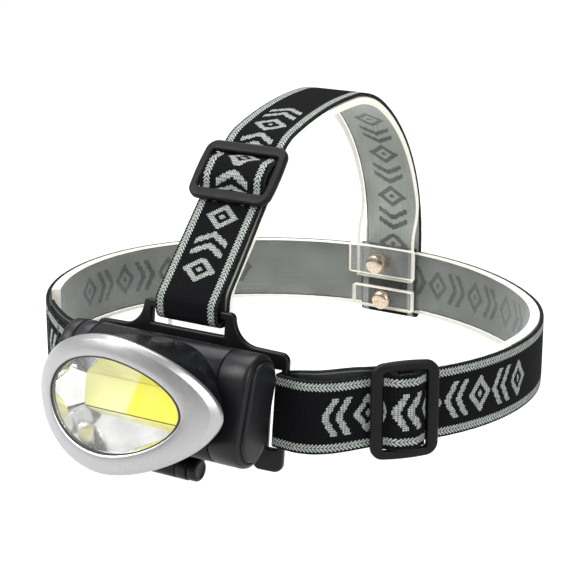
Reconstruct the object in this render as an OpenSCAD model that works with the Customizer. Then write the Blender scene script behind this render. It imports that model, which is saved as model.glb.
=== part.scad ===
// Headlamp: a tilting lamp with a battery tube, on an elastic headband and a crown strap.
// Origin: centre of the head opening, half way up the headband. The lamp faces -Y, +Z is up.

/* [Straps] */
// Width of the elastic webbing
strap_w = 25; // [24:0.5:26]
// Thickness of the elastic webbing
strap_t = 1.4; // [1.2:0.1:1.4]
// Radius of the headband at the back of the head
rear_r = 104.65; // [104:0.05:105]
// Radius of the headband beside the ears
side_r = 68.89; // [68.5:0.01:69.5]
// Radius of the headband from the ear to the bracket, which is the slider's path
front_r = 78.2; // [78:0.1:78.5]

/* [Adjusters] */
// Length of a slider across its strap
slider_h = 34; // [32:0.5:36]
// Length of a slider along its strap
slider_w = 23.5; // [22:0.5:24]
// Thickness of a slider
slider_t = 2.6; // [2:0.1:2.8]
// Place of the headband slider, in degrees round the front arc
slider_at = -42.9; // [-46:0.1:-40]

/* [Bracket] */
// Angle that the bracket leans back
plate_lean = 7; // [6:0.5:8]
// Thickness of the bracket
plate_t = 2.6; // [2.2:0.1:2.8]
// Radius that the bracket is curved to
plate_r = 320; // [300:10:400]
// Half width of the bracket over its ears
ear_x = 39.3; // [39:0.1:40]

/* [Battery tube] */
// Height of the tube's section
tube_h = 38; // [38:0.5:40]
// Depth of the tube's section
tube_d = 19.5; // [19:0.5:20]
// Angle that the tube leans back at rest
tube_lean = 19; // [18:0.5:20]
// Half length of the tube between the end faces
tube_x = 38.5; // [38:0.1:39]
// Wall of the tube and caps
wall = 1.5; // [1.4:0.1:1.6]

/* [Lamp front] */
// Angle that the beam is lifted at rest
beam_lift = 9.3; // [8:0.1:10]
// Half width of the bezel
bezel_a = 36.2; // [36:0.1:37]
// Half height of the bezel
bezel_b = 22.7; // [22:0.1:23]
// Half width of the lens opening
open_a = 25.9; // [25:0.1:26]
// Half height of the lens opening
open_b = 15.7; // [15:0.1:16]
// Distance from the tube's axis to the bezel's upper and lower edges
bezel_out = 30.9; // [30:0.1:31]
// Distance that the bezel's side points sweep back
bezel_sweep = 13; // [12:0.5:14]

/* [Hinge] */
// Radius of the hinge pin
pin_r = 1.5; // [1.4:0.1:1.6]
// Radius of the hinge knuckles
knuckle_r = 4.2; // [4:0.1:4.4]

/* [Hidden] */
$fn = 64;
// Places
ring_y = 77.9;
plate_y = -75.5;
lamp_y = -89;
lamp_z = 2;
hinge_y = -88;
hinge_z = -23.9;
// Centre of the front arc, which the headband slider turns about
front_c = [17.2, -3.18];
// Crown strap: slope of its straight run
slope = 46;
// Foot of the straight run on the strap's outer face, in Y and Z
slope_foot = [-72, 31.05];
// Place of the crown slider along the straight run
crown_slider_s = 48.4;
// Bracket's slots
top_slot_x = 14.8;
top_slot_z = [19.5, 24.6];
bar_top = 27.6;
side_slot_x = [33.4, 36.9];
side_slot_z = [-16, 11.2];
// Batteries: three AAA cells
cell_r = 5.25;
cell_l = 44.5;
cell_pitch = 10.9;
cell_x0 = -20.5;
// Neck and bezel curves
pts = 48;
eye_n = 1.75;
open_n = 1.85;
open_sweep = 6.8;
lip_y = -33.1;
// Thickness of the clear display formers
former_t = 3.4;
crown_former_t = 2.6;
// Where the headband former is thinned behind the clamp: half width, and both faces in Y
seat_half = 14;
seat_y = [72.65, 73.8];
// Binding posts at the back: heights, shank radius and outer end
post_z = [8.6, -8];
shank_r = 2.1;
shank_end = 81.9;

// ---- Paths of arcs and straights ----
// A pose is [x, y, heading]. A step is [0, length] or [radius, turn], and a left turn is positive.
function side(h) = [-sin(h), cos(h)];
function ahead(p, step) = step[0] == 0
    ? [p.x + step[1] * cos(p.z), p.y + step[1] * sin(p.z), p.z]
    : turned(p, step[0] * sign(step[1]), step[1]);
function turned(p, r, turn) = [
    p.x + r * (side(p.z).x - side(p.z + turn).x),
    p.y + r * (side(p.z).y - side(p.z + turn).y),
    p.z + turn
];
function stops(step) = step[0] == 0 ? 1 : max(2, ceil(abs(step[1]) / 3));
function partly(step, f) = [step[0], step[1] * f];
function walk(p, steps, i = 0) = i == len(steps)
    ? [p]
    : concat(
        [for (k = [0 : stops(steps[i]) - 1]) ahead(p, partly(steps[i], k / stops(steps[i])))],
        walk(ahead(p, steps[i]), steps, i + 1)
    );
// The path moved to its left by d
function beside(path, d) = [for (p = path) [p.x + d * side(p.z).x, p.y + d * side(p.z).y]];
function backwards(list) = [for (i = [len(list) - 1 : -1 : 0]) list[i]];
module ribbon(path, near, far) {
    polygon(concat(beside(path, -near), backwards(beside(path, -far))));
}

// Places a plan drawn in Y and Z so that it is w wide about x = 0
module across(w) {
    rotate([90, 0, 90])
        linear_extrude(w, center = true)
            children();
}

// Half of the headband, from the back of the head to beside the bracket
half_band = [[rear_r, -47.84], [side_r, -39.46], [front_r, -69.5], [10, -16]];
half_path = walk([0, ring_y, 0], half_band);
// From the back of the head to behind the slider
former_path = walk([0, ring_y, 0], [[rear_r, -47.84], [side_r, -39.46], [front_r, -34]]);
// The returned layer, from the slider or the stitching to beside the bracket
layer_path = walk(
    [front_c.x + front_r * cos(slider_at), front_c.y + front_r * sin(slider_at), slider_at - 90],
    [[front_r, -20]]
);
// The folded end of the band round a side bar, in the bracket's own frame
end_path = walk(
    [47, -0.7, -188],
    [[0, 10.45], [1.7, -82], [0, 3], [1.7, -95], [0, 4], [10, -8], [0, 6], [12, 30]]
);
// The crown strap in Y and Z: up behind the top bar, through its slot, over the head and round
// the headband
crown_path = walk(
    [-39.35, 60.69, slope - 180],
    [
        [0, 38.2], [6, 37], [0, 6], [2.9, -180], [0, 2.9], [6.2, -37], [0, 60], [20, -28.4],
        [146.85, -17.6], [41.73, -31.2], [73.5, -58.8], [0, 30.5], [2.75, -180], [0, 27]
    ]
);
// Behind both layers of the strap at the front, close under the single layer over the head
crown_former_path = walk(
    [-66, 16, 88],
    [
        [0, 11], [14, -42], [0, 34], [28.48, 15.34], [28.48, -15.34], [18.3, -28.4],
        [145.15, -17.6], [40.03, -31.2], [71.8, -44], [18, -40.16], [18, 25.36], [0, 15.1]
    ]
);

// ---- Frames ----
module plate_frame() {
    translate([0, plate_y, 0])
        rotate([-plate_lean, 0, 0])
            children();
}
module tube_frame() {
    translate([0, lamp_y, lamp_z])
        rotate([-tube_lean, 0, 0])
            children();
}
module beam_frame() {
    translate([0, lamp_y, lamp_z])
        rotate([-beam_lift, 0, 0])
            children();
}
// x along the headband, y up, z outwards
module headband_slider_frame() {
    translate([front_c.x, front_c.y, 0])
        rotate([0, 0, slider_at])
            translate([front_r, 0, 0])
                rotate([0, 0, 90])
                    rotate([90, 0, 0])
                        children();
}
// x up the crown strap, y across it, z outwards
module crown_slider_frame() {
    translate([
        0,
        slope_foot.x + crown_slider_s * cos(slope),
        slope_foot.y + crown_slider_s * sin(slope)
    ])
        rotate([slope, 0, 0])
            rotate([0, 0, 90])
                children();
}

// ---- Sections ----
module stadium(h, d) {
    square([d, h - d], center = true);
    for (s = [-1, 1]) {
        translate([0, s * (h - d) / 2])
            circle(d = d);
    }
}
// A stadium section run along X from x0 to x1, h high and d deep
module tube_run(h, d, x0, x1) {
    translate([x0, 0, 0])
        rotate([90, 0, 90])
            linear_extrude(x1 - x0)
                stadium(h, d);
}
module tube_shell(x0, x1, grow = 0, thick = wall) {
    difference() {
        tube_run(tube_h + grow, tube_d + grow, x0, x1);
        tube_run(tube_h - 2 * thick, tube_d - 2 * thick, x0 - 1, x1 + 1);
    }
}
module rounded(w, h, r, t) {
    linear_extrude(t) {
        square([w - 2 * r, h], center = true);
        square([w, h - 2 * r], center = true);
        for (x = [-1, 1], y = [-1, 1]) {
            translate([x * (w / 2 - r), y * (h / 2 - r)])
                circle(r);
        }
    }
}

// ---- Lofts ----
// A ring is an eye-shaped curve: half width a, half height b, power n, depth y and sweep s
function power(v, n) = sign(v) * pow(abs(v), 2 / n);
function eye(a, b, n, y, s) = [
    for (i = [0 : pts - 1])
        let (c = power(cos(i * 360 / pts), n), d = power(sin(i * 360 / pts), n))
            [a * c, y + s * c * c, b * d]
];
function quads(j, k) = [
    for (i = [0 : pts - 1])
        [j * pts + i, k * pts + i, k * pts + (i + 1) % pts, j * pts + (i + 1) % pts]
];
function halves(faces) = [for (f = faces, h = [[0, 1, 2], [0, 2, 3]]) [f[h[0]], f[h[1]], f[h[2]]]];
function joined(rings) = [for (r = rings, p = r) p];
function centre(ring) = [0, ring[pts / 4].y, 0];
// A closed tube through rings that come back to the first
module eye_ring(rings) {
    polyhedron(
        joined(rings),
        halves([for (j = [0 : len(rings) - 1]) each quads(j, (j + 1) % len(rings))])
    );
}
// A solid through rings that run from back to front, closed by a fan at each end
module eye_loft(rings) {
    n = len(rings);
    last = (n - 1) * pts;
    polyhedron(
        concat(joined(rings), [centre(rings[0]), centre(rings[n - 1])]),
        concat(
            halves([for (j = [0 : n - 2]) each quads(j, j + 1)]),
            [for (i = [0 : pts - 1]) [n * pts, i, (i + 1) % pts]],
            [for (i = [0 : pts - 1]) [n * pts + 1, last + (i + 1) % pts, last + i]]
        )
    );
}

// ---- Bracket ----
function corner(x, y, r, from, to) = [
    for (k = [0 : 4]) let (a = from + (to - from) * k / 4) [x + r * cos(a), y + r * sin(a)]
];
half_outline = concat(
    [[0, -17], [24, -17]],
    corner(31, -21.5, 2.5, 200, 270),
    corner(ear_x - 3, -21, 3, 270, 360),
    corner(ear_x - 3, 14, 3, 0, 90),
    [[30, 17.3]],
    corner(27.5, 26.5, 9, 270, 190),
    corner(16.5, bar_top - 2, 2, 0, 90),
    [[0, bar_top]]
);
module bracket_outline() {
    polygon(half_outline);
    mirror([1, 0])
        polygon(half_outline);
}
module plate_bend(inner, outer) {
    translate([0, plate_r, 0])
        difference() {
            cylinder(h = 80, r = outer, center = true, $fn = 200);
            cylinder(h = 90, r = inner, center = true, $fn = 200);
        }
}
module bracket_plate() {
    intersection() {
        rotate([90, 0, 0])
            linear_extrude(40, center = true)
                difference() {
                    bracket_outline();
                    translate([-top_slot_x, top_slot_z[0]])
                        square([2 * top_slot_x, top_slot_z[1] - top_slot_z[0]]);
                    for (m = [0, 1]) {
                        mirror([m, 0])
                            translate([side_slot_x[0], side_slot_z[0]])
                                square([
                                    side_slot_x[1] - side_slot_x[0],
                                    side_slot_z[1] - side_slot_z[0]
                                ]);
                    }
                }
        plate_bend(plate_r - plate_t, plate_r);
    }
}
module hinge_arm(x0, x1) {
    translate([x0, 0, 0])
        rotate([90, 0, 90])
            linear_extrude(x1 - x0) {
                translate([hinge_y, hinge_z])
                    circle(knuckle_r);
                polygon([
                    [-76.3, -11.5], [-76.8, -20.5], [-81, -26], [hinge_y + 0.6, hinge_z - 4.1],
                    [hinge_y, hinge_z], [hinge_y + 0.6, hinge_z + 4.1]
                ]);
            }
}
module pin_hole(r) {
    translate([-30, hinge_y, hinge_z])
        rotate([0, 90, 0])
            cylinder(h = 60, r = r);
}
module bracket() {
    color("#1c1c1e")
        difference() {
            union() {
                plate_frame()
                    bracket_plate();
                hinge_arm(-14, -7.2);
                hinge_arm(7.2, 11.4);
            }
            pin_hole(pin_r + 0.02);
        }
}
module forehead_pad() {
    color("#2b2b2d")
        plate_frame()
            difference() {
                translate([0, 8, -1])
                    rotate([90, 0, 0])
                        rounded(62, 31, 6, 8);
                translate([0, plate_r, 0])
                    difference() {
                        cylinder(h = 80, r = plate_r + 20, center = true, $fn = 200);
                        cylinder(h = 90, r = plate_r - plate_t - 0.1, center = true, $fn = 200);
                    }
            }
}

// ---- Straps ----
module both_sides() {
    children();
    mirror([1, 0, 0])
        children();
}
module headband() {
    color("#161617")
        difference() {
            both_sides()
                translate([0, 0, -strap_w / 2])
                    linear_extrude(strap_w) {
                        ribbon(half_path, 0, strap_t);
                        ribbon(layer_path, strap_t - 0.02, 2 * strap_t);
                    }
            clamp_holes();
        }
}
module headband_ends() {
    color("#161617")
        plate_frame()
            both_sides()
                translate([0, 0, -strap_w / 2 - 2.4])
                    linear_extrude(strap_w)
                        ribbon(end_path, 0, strap_t);
}
module crown_strap() {
    color("#161617")
        difference() {
            across(strap_w)
                ribbon(crown_path, 0, strap_t);
            clamp_holes();
        }
}
module headband_former() {
    color("#eef3ef", 0.35)
        difference() {
            both_sides()
                translate([0, 0, -strap_w / 2])
                    linear_extrude(strap_w)
                        ribbon(former_path, strap_t + 0.2, strap_t + 0.2 + former_t);
            // Flat seats for the crown former in front and the crown strap's turn behind
            translate([-seat_half, seat_y[0] - 8, -20])
                cube([2 * seat_half, 8, 40]);
            translate([-seat_half, seat_y[1], -20])
                cube([2 * seat_half, 4, 40]);
            clamp_holes();
        }
}
module crown_former() {
    color("#eef3ef", 0.35)
        difference() {
            across(strap_w)
                ribbon(crown_former_path, 0, crown_former_t);
            clamp_holes();
        }
}

// ---- Rear clamp ----
module rear_plate() {
    color("#dfe6e2", 0.4)
        difference() {
            translate([0, 80.6, 3])
                rotate([90, 0, 0])
                    rounded(28, 32, 4, 1);
            clamp_holes();
        }
}
module clamp_holes() {
    for (z = post_z) {
        translate([0, 60, z])
            rotate([-90, 0, 0])
                cylinder(h = 30, r = shank_r + 0.1);
    }
}
module upper_clamp() {
    color("#e4ebe7", 0.4)
        difference() {
            translate([-15.5, 68.4, 2])
                cube([30, 1.5, 12.4]);
            clamp_holes();
        }
}
module lower_clamp() {
    color("#e4ebe7", 0.4)
        difference() {
            translate([-14, 68.9, -12])
                cube([27.5, 2.8, 8.6]);
            clamp_holes();
        }
}
module upper_post() {
    color("#cdb08a")
        translate([0, 61.2, post_z[0]])
            rotate([-90, 0, 0]) {
                cylinder(h = 7.1, r = 3.8);
                cylinder(h = shank_end - 61.2, r = shank_r);
            }
}
module lower_screw() {
    color("#cdb08a")
        translate([0, 66.3, post_z[1]])
            rotate([-90, 0, 0])
                difference() {
                    union() {
                        cylinder(h = 2.5, r = 3.8);
                        cylinder(h = shank_end - 66.3, r = shank_r);
                    }
                    translate([-5, -0.5, -1])
                        cube([10, 1, 2]);
                }
}
module clamp_nuts() {
    color("#cdb08a")
        for (z = post_z) {
            translate([0, 80.7, z])
                rotate([-90, 0, 0])
                    difference() {
                        cylinder(h = 1.4, r = 3.8, $fn = 6);
                        translate([0, 0, -1])
                            cylinder(h = 4, r = shank_r + 0.02);
                    }
        }
}

// ---- Sliders ----
end_bar = 4;
rail = 3.3;
module slider_frame() {
    translate([0, 0, 0.3])
        difference() {
            rounded(slider_w, slider_h, 4, slider_t);
            for (s = [-1, 1]) {
                translate([s * (slider_w / 4 - end_bar / 4 + 0.15), 0, -1])
                    rounded((slider_w - 3 * end_bar) / 2 - 0.2, slider_h - 2 * rail, 1, slider_t + 2);
            }
        }
}
// Webbing over a slider's middle bar
hump_half = 7.3;
hump_path = walk(
    [-hump_half, 0.15, 0],
    [[3, 42], [0, 2.1], [3, -42], [0, 3.4], [3, -42], [0, 2.1], [3, 42]]
);
module hump() {
    translate([0, strap_w / 2, 0])
        rotate([90, 0, 0])
            linear_extrude(strap_w)
                translate([(hump_half - hump_path[len(hump_path) - 1].x) / 2, 0])
                    ribbon(hump_path, 0, -strap_t);
}
module headband_slider() {
    color("#1b1b1d")
        headband_slider_frame()
            slider_frame();
}
module headband_loop() {
    color("#161617")
        headband_slider_frame()
            hump();
}
module crown_slider() {
    color("#1b1b1d")
        crown_slider_frame()
            slider_frame();
}
module crown_loop() {
    color("#161617")
        crown_slider_frame()
            hump();
}

// ---- Hinge ----
module hinge_pin() {
    color("#202022")
        translate([0, hinge_y, hinge_z])
            rotate([0, 90, 0]) {
                translate([0, 0, -15])
                    cylinder(h = 27, r = pin_r);
                translate([0, 0, 11.6])
                    cylinder(h = 3.6, r = 3.9);
            }
}
module hinge_clip() {
    color("#8d8f92")
        translate([-14.9, hinge_y, hinge_z])
            rotate([0, 90, 0])
                difference() {
                    cylinder(h = 0.8, r = 2.8);
                    translate([0, 0, -1])
                        cylinder(h = 3, r = pin_r + 0.02);
                }
}

// ---- Battery tube ----
sleeve_x = 34;
sleeve_grow = -2.8;
bulkhead_x = -25.5;
module hinge_lug() {
    // The hinge's axis in the tube's frame
    y = (hinge_y - lamp_y) * cos(tube_lean) - (hinge_z - lamp_z) * sin(tube_lean);
    z = (hinge_y - lamp_y) * sin(tube_lean) + (hinge_z - lamp_z) * cos(tube_lean);
    rotate([90, 0, 90])
        linear_extrude(14, center = true)
            difference() {
                union() {
                    translate([y, z])
                        circle(knuckle_r);
                    polygon([
                        [3, -18], [7, -15.3], [9.2, -10], [9.7, -12], [y + 4.1, z + 1],
                        [y, z], [y - 4.1, z + 1]
                    ]);
                }
                translate([y, z])
                    circle(pin_r + 0.05);
            }
}
module battery_tube() {
    color("#222224")
        tube_frame() {
            difference() {
                union() {
                    tube_shell(-27, 27);
                    tube_shell(-36, -26, sleeve_grow, 2.6);
                    tube_shell(26, sleeve_x, sleeve_grow, 2.6);
                    tube_run(tube_h - 2, tube_d - 2, bulkhead_x - 1.5, bulkhead_x);
                }
                translate([-10, -20, -3])
                    cube([20, 13, 6]);
                screw_holes(1.3, 2.4);
            }
            hinge_lug();
        }
}
module left_collar() {
    color("#262628")
        tube_frame()
            difference() {
                tube_run(tube_h, tube_d, -32.9, -27.1);
                tube_run(tube_h - 2.6, tube_d - 2.6, -34, -26);
            }
}
module left_cap() {
    color("#262628")
        tube_frame() {
            difference() {
                tube_run(tube_h, tube_d, -tube_x, -33.1);
                tube_run(tube_h - 2.6, tube_d - 2.6, -36.5, -32);
            }
            tube_run(33.3, 14, -tube_x - 1, -tube_x + 0.5);
        }
}
module battery_cap() {
    color("#262628")
        tube_frame() {
            difference() {
                tube_run(tube_h, tube_d, 27.1, tube_x);
                tube_run(tube_h - 2.4, tube_d - 2.4, 26, 36.4);
            }
            tube_run(33.3, 14, tube_x - 0.5, tube_x + 1);
        }
}
module cap_seal() {
    color("#6b1f1f")
        tube_frame()
            difference() {
                tube_run(tube_h - 2.5, tube_d - 2.5, 29.5, 30.7);
                tube_run(tube_h - 2.78, tube_d - 2.78, 29, 31.2);
            }
}
module contact_carrier() {
    color("#3a3a3c")
        tube_frame()
            tube_run(31.6, 13, 24.7, 36.3);
}
module cap_contacts() {
    color("#c9ccd0")
        tube_frame()
            for (span = [[-14.6, 4], [7, 14.7]]) {
                translate([24.1, -3.9, span[0]])
                    cube([0.5, 7.8, span[1] - span[0]]);
            }
}
module tube_contacts() {
    color("#c9ccd0")
        tube_frame()
            for (i = [-1 : 1]) {
                translate([bulkhead_x + 0.1, 0, i * cell_pitch]) {
                    translate([0, -4.2, -4.2])
                        cube([0.5, 8.4, 8.4]);
                    rotate([0, 90, 0])
                        for (k = [0 : 2]) {
                            translate([0, 0, 0.5 + k * 1.4])
                                coil_turn(3.6 - k * 0.7);
                        }
                }
            }
}
module coil_turn(r) {
    difference() {
        cylinder(h = 1.4, r = r);
        translate([0, 0, -0.5])
            cylinder(h = 2.4, r = r - 0.9);
    }
}
module cell(i) {
    tube_frame()
        translate([cell_x0, 0, i * cell_pitch])
            rotate([0, 90, 0]) {
                cylinder(h = cell_l - 1, r = cell_r);
                cylinder(h = cell_l, r = 1.9);
            }
}
module cell_upper() {
    color("#2f5d8a")
        cell(1);
}
module cell_middle() {
    color("#2f5d8a")
        cell(0);
}
module cell_lower() {
    color("#2f5d8a")
        cell(-1);
}
module battery_tray() {
    color("#2c2c2e")
        tube_frame()
            difference() {
                intersection() {
                    tube_run(tube_h - 2 * wall - 0.2, tube_d - 2 * wall - 0.2, -20, 23);
                    translate([-21, 2, -16])
                        cube([45, 8, 32]);
                }
                for (i = [-1 : 1]) {
                    translate([-21, 0, i * cell_pitch])
                        rotate([0, 90, 0])
                            cylinder(h = 45, r = cell_r + 0.1);
                }
            }
}

// ---- Lamp front ----
module tube_space() {
    rotate([beam_lift - tube_lean, 0, 0])
        tube_run(tube_h + 0.2, tube_d + 0.2, -60, 60);
}
neck_outer = [
    eye(27, 18.4, 3.2, -1.5, 0),
    eye(29.5, 19.4, 2.5, -12, 4),
    eye(33.6, 21, 2, -22.5, 10),
    eye(bezel_a - 0.8, bezel_b - 0.8, eye_n, -bezel_out + 1.4, bezel_sweep)
];
neck_inner = [
    eye(25, 16.5, 3, -12.2, 0),
    eye(28.5, 17.8, 2.4, -15.5, 3),
    eye(31.8, 19.2, 2, -22.5, 10),
    eye(bezel_a - 2.6, bezel_b - 2.6, eye_n, -bezel_out + 0.2, bezel_sweep)
];
button_at = [8, -12.5];
module screw_places() {
    for (x = [-22.5, 22.5], z = [-6, 6]) {
        translate([x, 0, z])
            rotate([90, 0, 0])
                children();
    }
}
module screw_holes(shank, head) {
    screw_places() {
        cylinder(h = 20, r = shank);
        cylinder(h = 8.8, r = head);
    }
}
module front_housing() {
    color("#1d1d1f")
        beam_frame()
            difference() {
                union() {
                    difference() {
                        eye_loft(neck_outer);
                        eye_loft(neck_inner);
                    }
                    rotate([beam_lift - tube_lean, 0, 0])
                        screw_places()
                            translate([0, 0, 10])
                                cylinder(h = 4.2, r = 2.6);
                }
                tube_space();
                rotate([beam_lift - tube_lean, 0, 0])
                    screw_places()
                        cylinder(h = 15.5, r = 1.05);
                translate([button_at.x, button_at.y, 12])
                    cylinder(h = 12, r = 4.2);
                translate([button_at.x, button_at.y, 7])
                    cylinder(h = 10.3, r = 4.9);
                translate([button_at.x - 3.2, -16.5, 7])
                    cube([6.4, 7, 6]);
                translate([-8, -14, -3])
                    cube([16, 8, 6]);
            }
}
module housing_screws() {
    color("#b4b6ba")
        tube_frame()
            screw_places() {
                translate([0, 0, 8.7])
                    cylinder(h = 5, r = 1);
                translate([0, 0, 7.1])
                    cylinder(h = 1.6, r = 2.1);
            }
}
module circuit_board() {
    color("#2e6b3e")
        beam_frame()
            translate([-16, -13.6, -9])
                cube([32, 1.2, 17.5]);
}
module switch() {
    color("#8f9296")
        beam_frame() {
            translate([button_at.x - 3, -16.15, 9])
                cube([6, 6.2, 3.6]);
            translate([button_at.x, button_at.y, 12.6])
                cylinder(h = 1.95, r = 1.5);
        }
}
module push_button() {
    color("#19191b")
        beam_frame()
            translate([button_at.x, button_at.y, 15.4]) {
                cylinder(h = 5.2, r = 4);
                cylinder(h = 0.8, r = 4.6);
            }
}
module lead_wires() {
    color("#b02a22")
        beam_frame()
            for (x = [-12, -9]) {
                translate([x, -13.65, -4])
                    rotate([90, 0, 0])
                        cylinder(h = 1.2, r = 0.6);
            }
}
module led_board() {
    color("#d8dadc")
        beam_frame()
            translate([-19.6, -15.9, -8])
                cube([39.2, 1, 16]);
}
module led_phosphor() {
    color("#f3ef3a")
        beam_frame()
            translate([-18.8, -16.4, -5.6])
                cube([37.6, 0.45, 11.2]);
}
module reflector() {
    color("#dfe2e6")
        beam_frame()
            difference() {
                eye_loft([
                    eye(20.4, 7.4, 20, -16, 0),
                    eye(23.2, 12, 3.6, -23.6, 1),
                    eye(open_a - 0.6, open_b - 0.6, open_n, lip_y + 3.5, open_sweep)
                ]);
                eye_loft([
                    eye(19.2, 6, 20, -15.5, 0),
                    eye(22, 10.8, 3.6, -23.8, 1),
                    eye(open_a - 1.6, open_b - 1.6, open_n, lip_y + 1, open_sweep)
                ]);
            }
}
module lens() {
    color("#f4f7f8", 0.3)
        beam_frame()
            eye_loft([
                eye(open_a * 0.5, open_b * 0.5, open_n, lip_y + 1.9, open_sweep / 4),
                eye(open_a - 0.3, open_b - 0.3, open_n, lip_y + 2.3, open_sweep),
                eye(open_a - 0.3, open_b - 0.3, open_n, lip_y + 0.9, open_sweep),
                eye(open_a * 0.5, open_b * 0.5, open_n, lip_y - 0.1, open_sweep / 4)
            ]);
}
module lens_gasket() {
    color("#2a2a2c")
        beam_frame()
            eye_ring([
                eye(open_a - 0.6, open_b - 0.6, open_n, lip_y + 3.3, open_sweep),
                eye(open_a + 0.4, open_b + 0.4, open_n, lip_y + 3.3, open_sweep),
                eye(open_a + 0.4, open_b + 0.4, open_n, lip_y + 2.6, open_sweep),
                eye(open_a - 0.6, open_b - 0.6, open_n, lip_y + 2.6, open_sweep)
            ]);
}
module front_bezel() {
    color("#a9abae")
        beam_frame()
            eye_ring([
                eye(bezel_a - 1, bezel_b - 1, eye_n, -bezel_out + 1.2, bezel_sweep),
                eye(31, 19, 1.8, lip_y + 2.4, 9.6),
                eye(open_a, open_b, open_n, lip_y + 2.3, open_sweep),
                eye(open_a, open_b, open_n, lip_y + 0.5, open_sweep),
                eye(open_a + 0.5, open_b + 0.5, open_n, lip_y, open_sweep),
                eye(31.6, 19.6, 1.8, lip_y + 0.2, 9.9),
                eye(bezel_a - 0.3, bezel_b - 0.3, eye_n, -bezel_out - 0.7, bezel_sweep),
                eye(bezel_a, bezel_b, eye_n, -bezel_out, bezel_sweep),
                eye(bezel_a, bezel_b, eye_n, -bezel_out + 1.3, bezel_sweep)
            ]);
}

bracket();
forehead_pad();
headband();
headband_ends();
crown_strap();
headband_former();
crown_former();
rear_plate();
upper_clamp();
lower_clamp();
upper_post();
lower_screw();
clamp_nuts();
headband_slider();
headband_loop();
crown_slider();
crown_loop();
hinge_pin();
hinge_clip();
battery_tube();
left_collar();
left_cap();
battery_cap();
cap_seal();
contact_carrier();
cap_contacts();
tube_contacts();
cell_upper();
cell_middle();
cell_lower();
battery_tray();
front_housing();
housing_screws();
circuit_board();
switch();
push_button();
lead_wires();
led_board();
led_phosphor();
reflector();
lens();
lens_gasket();
front_bezel();
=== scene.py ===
from math import asin, atan2, ceil, copysign, cos, degrees, hypot, pi, radians, sin, sqrt

import bmesh
import bpy
from mathutils import Matrix, Vector


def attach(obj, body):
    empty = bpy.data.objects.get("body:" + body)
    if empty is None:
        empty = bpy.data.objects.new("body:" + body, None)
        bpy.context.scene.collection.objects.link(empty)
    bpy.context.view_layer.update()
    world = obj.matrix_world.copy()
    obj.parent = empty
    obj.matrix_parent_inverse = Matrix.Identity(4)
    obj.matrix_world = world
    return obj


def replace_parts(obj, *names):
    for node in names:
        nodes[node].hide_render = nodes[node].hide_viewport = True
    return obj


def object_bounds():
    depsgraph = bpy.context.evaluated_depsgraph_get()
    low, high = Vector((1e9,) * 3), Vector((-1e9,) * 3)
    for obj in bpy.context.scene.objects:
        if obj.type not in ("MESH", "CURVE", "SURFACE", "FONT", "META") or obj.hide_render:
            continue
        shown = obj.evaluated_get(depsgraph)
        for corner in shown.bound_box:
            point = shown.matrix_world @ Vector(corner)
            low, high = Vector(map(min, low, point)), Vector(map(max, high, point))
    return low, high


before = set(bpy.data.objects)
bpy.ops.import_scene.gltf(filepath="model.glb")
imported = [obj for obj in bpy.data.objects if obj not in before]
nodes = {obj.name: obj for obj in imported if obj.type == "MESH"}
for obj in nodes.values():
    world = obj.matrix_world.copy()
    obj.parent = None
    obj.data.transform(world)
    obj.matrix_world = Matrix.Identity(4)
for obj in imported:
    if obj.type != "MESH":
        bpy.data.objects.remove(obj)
cad_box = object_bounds()
MM = 0.001

# ---- Sizes in mm, as in the CAD source ----
STRAP_W = 25.0
HUMP_W = 26.8
STRAP_T = 1.4
REAR_R, SIDE_R, FRONT_R = 104.65, 68.89, 78.2
FRONT_C = (17.2, -3.18)
SLIDER_AT = -42.9
RING_Y = 77.9
PLATE_Y, PLATE_LEAN, PLATE_R, PLATE_T = -75.5, 7.0, 320.0, 2.6
EAR_X, BAR_TOP = 39.3, 27.6
LAMP_Y, LAMP_Z = -89.0, 2.0
TUBE_LEAN, BEAM_LIFT = 19.0, 9.3
TUBE_H, TUBE_D, TUBE_X = 38.0, 19.5, 38.5
BEZEL_A, BEZEL_B, BEZEL_OUT, BEZEL_SWEEP, EYE_N = 36.2, 22.7, 30.9, 13.0, 1.75
OPEN_A, OPEN_B, OPEN_N, OPEN_SWEEP, LIP_Y = 25.9, 15.7, 1.85, 6.8, -33.1
HINGE_Y, HINGE_Z, KNUCKLE_R = -88.0, -23.9, 4.2
BUTTON_X, BUTTON_Y = 8.0, -12.5
SLOPE, SLOPE_FOOT, CROWN_S = 46.0, (-72.0, 31.05), 48.4
SLIDER_W, SLIDER_H, SLIDER_T, SLIDER_GAP = 23.5, 34.0, 2.6, 0.3
POST_Z = (8.6, -8.0)


# ---- Materials ----
def arithmetic(operation, swapped=False):
    """A method of Value that adds one Math node."""

    def made(self, *others):
        values = (*others, self) if swapped else (self, *others)
        return self.graph.node("ShaderNodeMath", dict(enumerate(values)), operation=operation)

    return made


class Value:
    """A node's output. Arithmetic on it adds Math nodes."""

    def __init__(self, graph, socket):
        self.graph, self.socket = graph, socket

    __add__ = arithmetic("ADD")
    __radd__ = arithmetic("ADD", True)
    __sub__ = arithmetic("SUBTRACT")
    __rsub__ = arithmetic("SUBTRACT", True)
    __mul__ = arithmetic("MULTIPLY")
    __truediv__ = arithmetic("DIVIDE")
    __mod__ = arithmetic("FLOORED_MODULO")
    __lt__ = arithmetic("LESS_THAN")
    __gt__ = arithmetic("GREATER_THAN")
    __abs__ = arithmetic("ABSOLUTE")
    sine = arithmetic("SINE")
    floor = arithmetic("FLOOR")
    fract = arithmetic("FRACT")
    power = arithmetic("POWER")
    most = arithmetic("MAXIMUM")

    def span(self, low, high, to_low=0.0, to_high=1.0):
        """Stretches low..high onto to_low..to_high, and stops at its ends."""
        values = (self, low, high, to_low, to_high)
        return self.graph.node("ShaderNodeMapRange", dict(enumerate(values)))


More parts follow.
